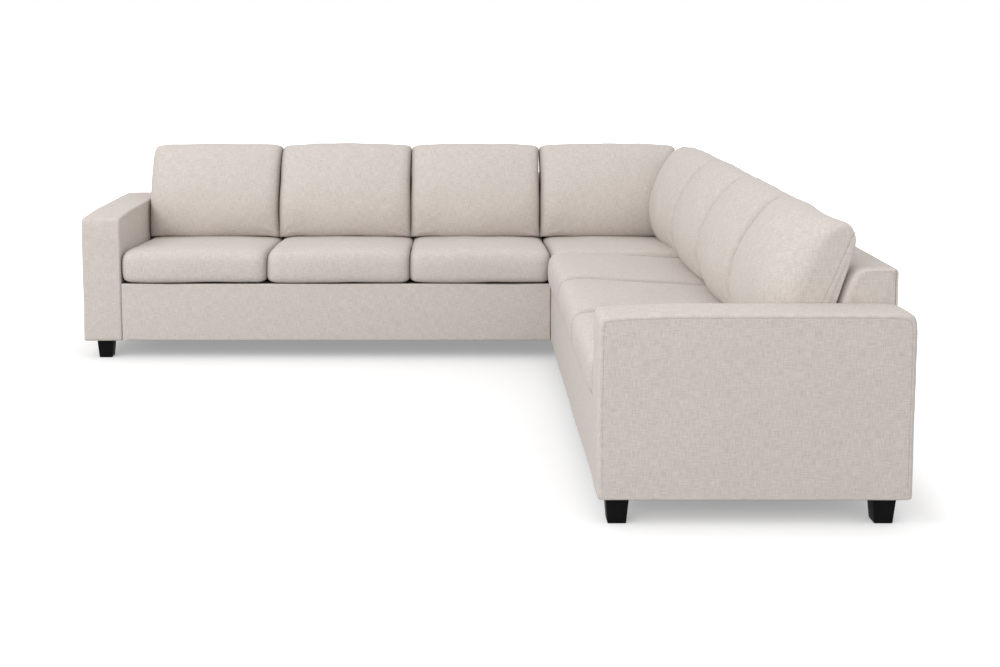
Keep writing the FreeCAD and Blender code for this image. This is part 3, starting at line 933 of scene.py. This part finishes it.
def leg_form():
    """A square leg that narrows to the floor, with softened edges."""
    bpy.ops.object.select_all(action="DESELECT")
    bpy.ops.mesh.primitive_cube_add(size=1, location=(0, 0, LEG / 2), scale=(0.070, 0.070, LEG))
    item = bpy.context.object
    bpy.ops.object.transform_apply(location=True, rotation=True, scale=True)
    bpy.ops.object.mode_set(mode="EDIT")
    bpy.ops.mesh.select_all(action="DESELECT")
    bpy.ops.object.mode_set(mode="OBJECT")
    for vertex in item.data.vertices:
        vertex.select = vertex.co.z < 0.01
    bpy.ops.object.mode_set(mode="EDIT")
    bpy.ops.transform.resize(value=(55 / 70, 55 / 70, 1), center_override=(0, 0, 0))
    bpy.ops.mesh.select_all(action="SELECT")
    bpy.ops.mesh.bevel(offset=0.004, segments=3, profile=0.6, affect="EDGES")
    bpy.ops.object.mode_set(mode="OBJECT")
    return item


def legs(node, places, station):
    made = []
    for x, y in places:
        item = copy_of(leg, "leg")
        place = to_world(np.array([[x, y, 0.0]]), station)
        set_points(item, get_points(leg) + place)
        made.append(item)
    item = join("legs_" + node, made)
    return dress(item, "frame", [node], materials["black_leg"])


leg = leg_form()
middle = 0.49 * (RUN - 0.002)
legs(
    "left_legs",
    [
        (0.085, 0.058),
        (0.085, 0.839),
        (0.167 + middle, 0.457),
        (0.167 + middle, 0.790),
        (0.167 + 1.868 - 0.110, 0.457),
        (0.167 + 1.868 - 0.110, 0.790),
    ],
    "left",
)
legs(
    "right_legs",
    [
        (1.981, 0.058),
        (1.981, 0.839),
        (0.001 + middle, 0.457),
        (0.001 + middle, 0.790),
        (0.111, 0.457),
        (0.111, 0.790),
    ],
    "right",
)
legs("corner_legs", [(0.4, 0.4), (0.12, 0.79), (0.79, 0.12), (0.79, 0.79)], "corner")
bpy.data.objects.remove(leg)


# ---- Floor, light and camera


def shown(tree):
    """1 for the rays that show the backdrop itself: to the camera, in gloss and through glass."""
    path = tree.nodes.new("ShaderNodeLightPath")
    names = ("Is Camera Ray", "Is Glossy Ray", "Is Transmission Ray")
    camera, gloss, glass = (Socket(tree, path.outputs[name]) for name in names)
    return (camera + gloss + glass).clamped()


def stage():
    bpy.ops.object.select_all(action="DESELECT")
    bpy.ops.mesh.primitive_plane_add(size=60, location=(0, 0, 0))
    floor = bpy.context.object
    floor.name = "floor"
    material = bpy.data.materials.new("floor_painted_glow")
    material.use_nodes = True
    tree = material.node_tree
    shader = tree.nodes["Principled BSDF"]
    shader.inputs["Roughness"].default_value = 1.0
    shader.inputs["Specular IOR Level"].default_value = 0.0
    shader.inputs["Emission Strength"].default_value = 1.0
    seen = shown(tree)
    # Painted light: camera and glossy rays see a paler floor than the one the light bounces from.
    tree.links.new((seen * 0.24 + 0.50).out, shader.inputs["Base Color"])
    coordinates = tree.nodes.new("ShaderNodeTexCoord")
    split = seen.node("ShaderNodeSeparateXYZ", {0: Socket(tree, coordinates.outputs["Object"])})
    x, y = (Socket(tree, split.outputs[n]) for n in range(2))
    # Painted light: for those rays the floor glows, weakly within a square round the sofa and fully
    # beyond it, so it is painted darker near the sofa and its shadows wash out further off.
    away = (x.abs().math("MAXIMUM", y.abs()) - 1.55) * 1.8
    tree.links.new((seen * (away.clamped() * 0.7 + 0.31)).out, shader.inputs["Emission Color"])
    floor.data.materials.append(material)

    world = bpy.data.worlds.new("studio")
    bpy.context.scene.world = world
    world.use_nodes = True
    tree = world.node_tree
    background = tree.nodes["Background"]
    strength = tree.nodes.new("ShaderNodeMix")
    strength.inputs[2].default_value = 0.90
    strength.inputs[3].default_value = 1.0
    tree.links.new(shown(tree).out, strength.inputs[0])
    tree.links.new(strength.outputs[0], background.inputs["Strength"])
    background.inputs["Color"].default_value = (1, 1, 1, 1)


def area_light(name, place, target, size, power):
    data = bpy.data.lights.new(name, "AREA")
    data.shape = "DISK"
    data.size = size
    data.energy = power
    lamp = bpy.data.objects.new(name, data)
    bpy.context.scene.collection.objects.link(lamp)
    lamp.location = place
    direction = Vector(target) - Vector(place)
    lamp.rotation_euler = direction.to_track_quat("-Z", "Y").to_euler()


stage()
area_light("side", (-4.5, -3.5, 4.2), (0.2, 0.3, 0.3), 3.0, 115)
area_light("front", (-3.0, -8.0, 4.5), (0.2, 0.3, 0.3), 5.0, 150)

camera_data = bpy.data.cameras.new("camera")
camera_data.sensor_width = 36
camera_data.lens = 49.85
camera_data.shift_x = 0.0446
camera_data.shift_y = -0.1632
camera = bpy.data.objects.new("camera", camera_data)
bpy.context.scene.collection.objects.link(camera)
camera.location = (0.146, -5.375, 1.454)
camera.rotation_euler = (math.radians(84), 0, 0)
bpy.context.scene.camera = camera
bpy.context.scene.view_settings.view_transform = "Standard"
